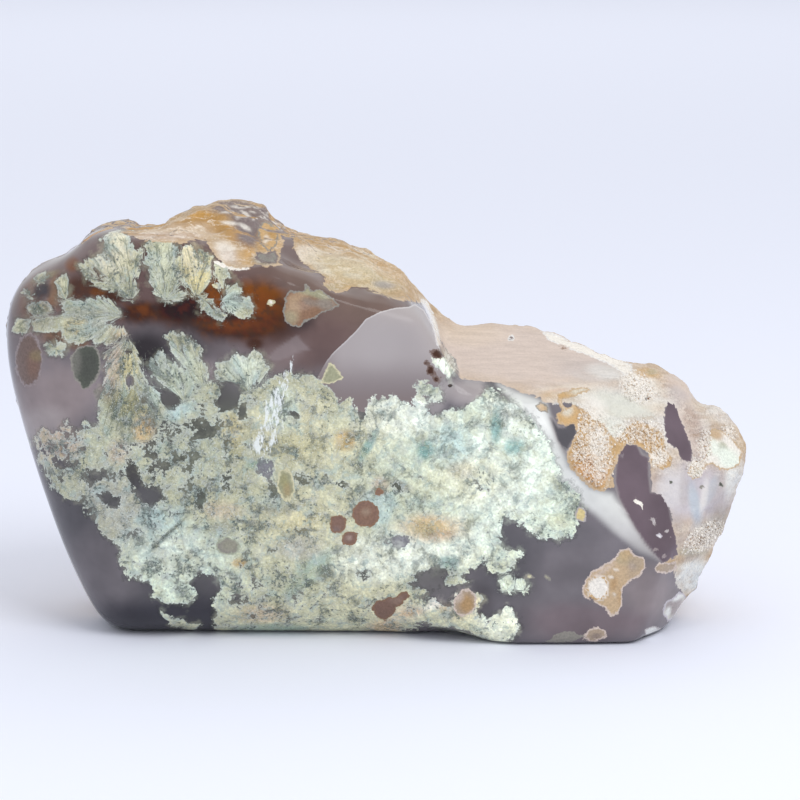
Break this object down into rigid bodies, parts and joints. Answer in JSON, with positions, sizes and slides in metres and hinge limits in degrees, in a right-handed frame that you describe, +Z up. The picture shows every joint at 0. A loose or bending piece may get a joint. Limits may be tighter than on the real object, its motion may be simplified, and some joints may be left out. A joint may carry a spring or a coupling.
{
  "type": "moss agate",
  "caption": "Free-standing moss agate, polished on its front and left end, rough and broken elsewhere, with a flat sawn base to rest on.",
  "frame": {"origin": "centre of the stone's bounding box in plan, on the plane of its sawn base", "axes": "+X along the stone's length towards its low broken end, +Y away from the polished front face, +Z up"},
  "size_m": [0.1406, 0.053, 0.0788],
  "materials": {
    "moss_agate": "polished grey-lavender chalcedony with pale green moss, matte tan and orange rind on its rough faces"
  },
  "bodies": {
    "root": {"moss_agate": "moss_agate"}
  },
  "joints": []
}
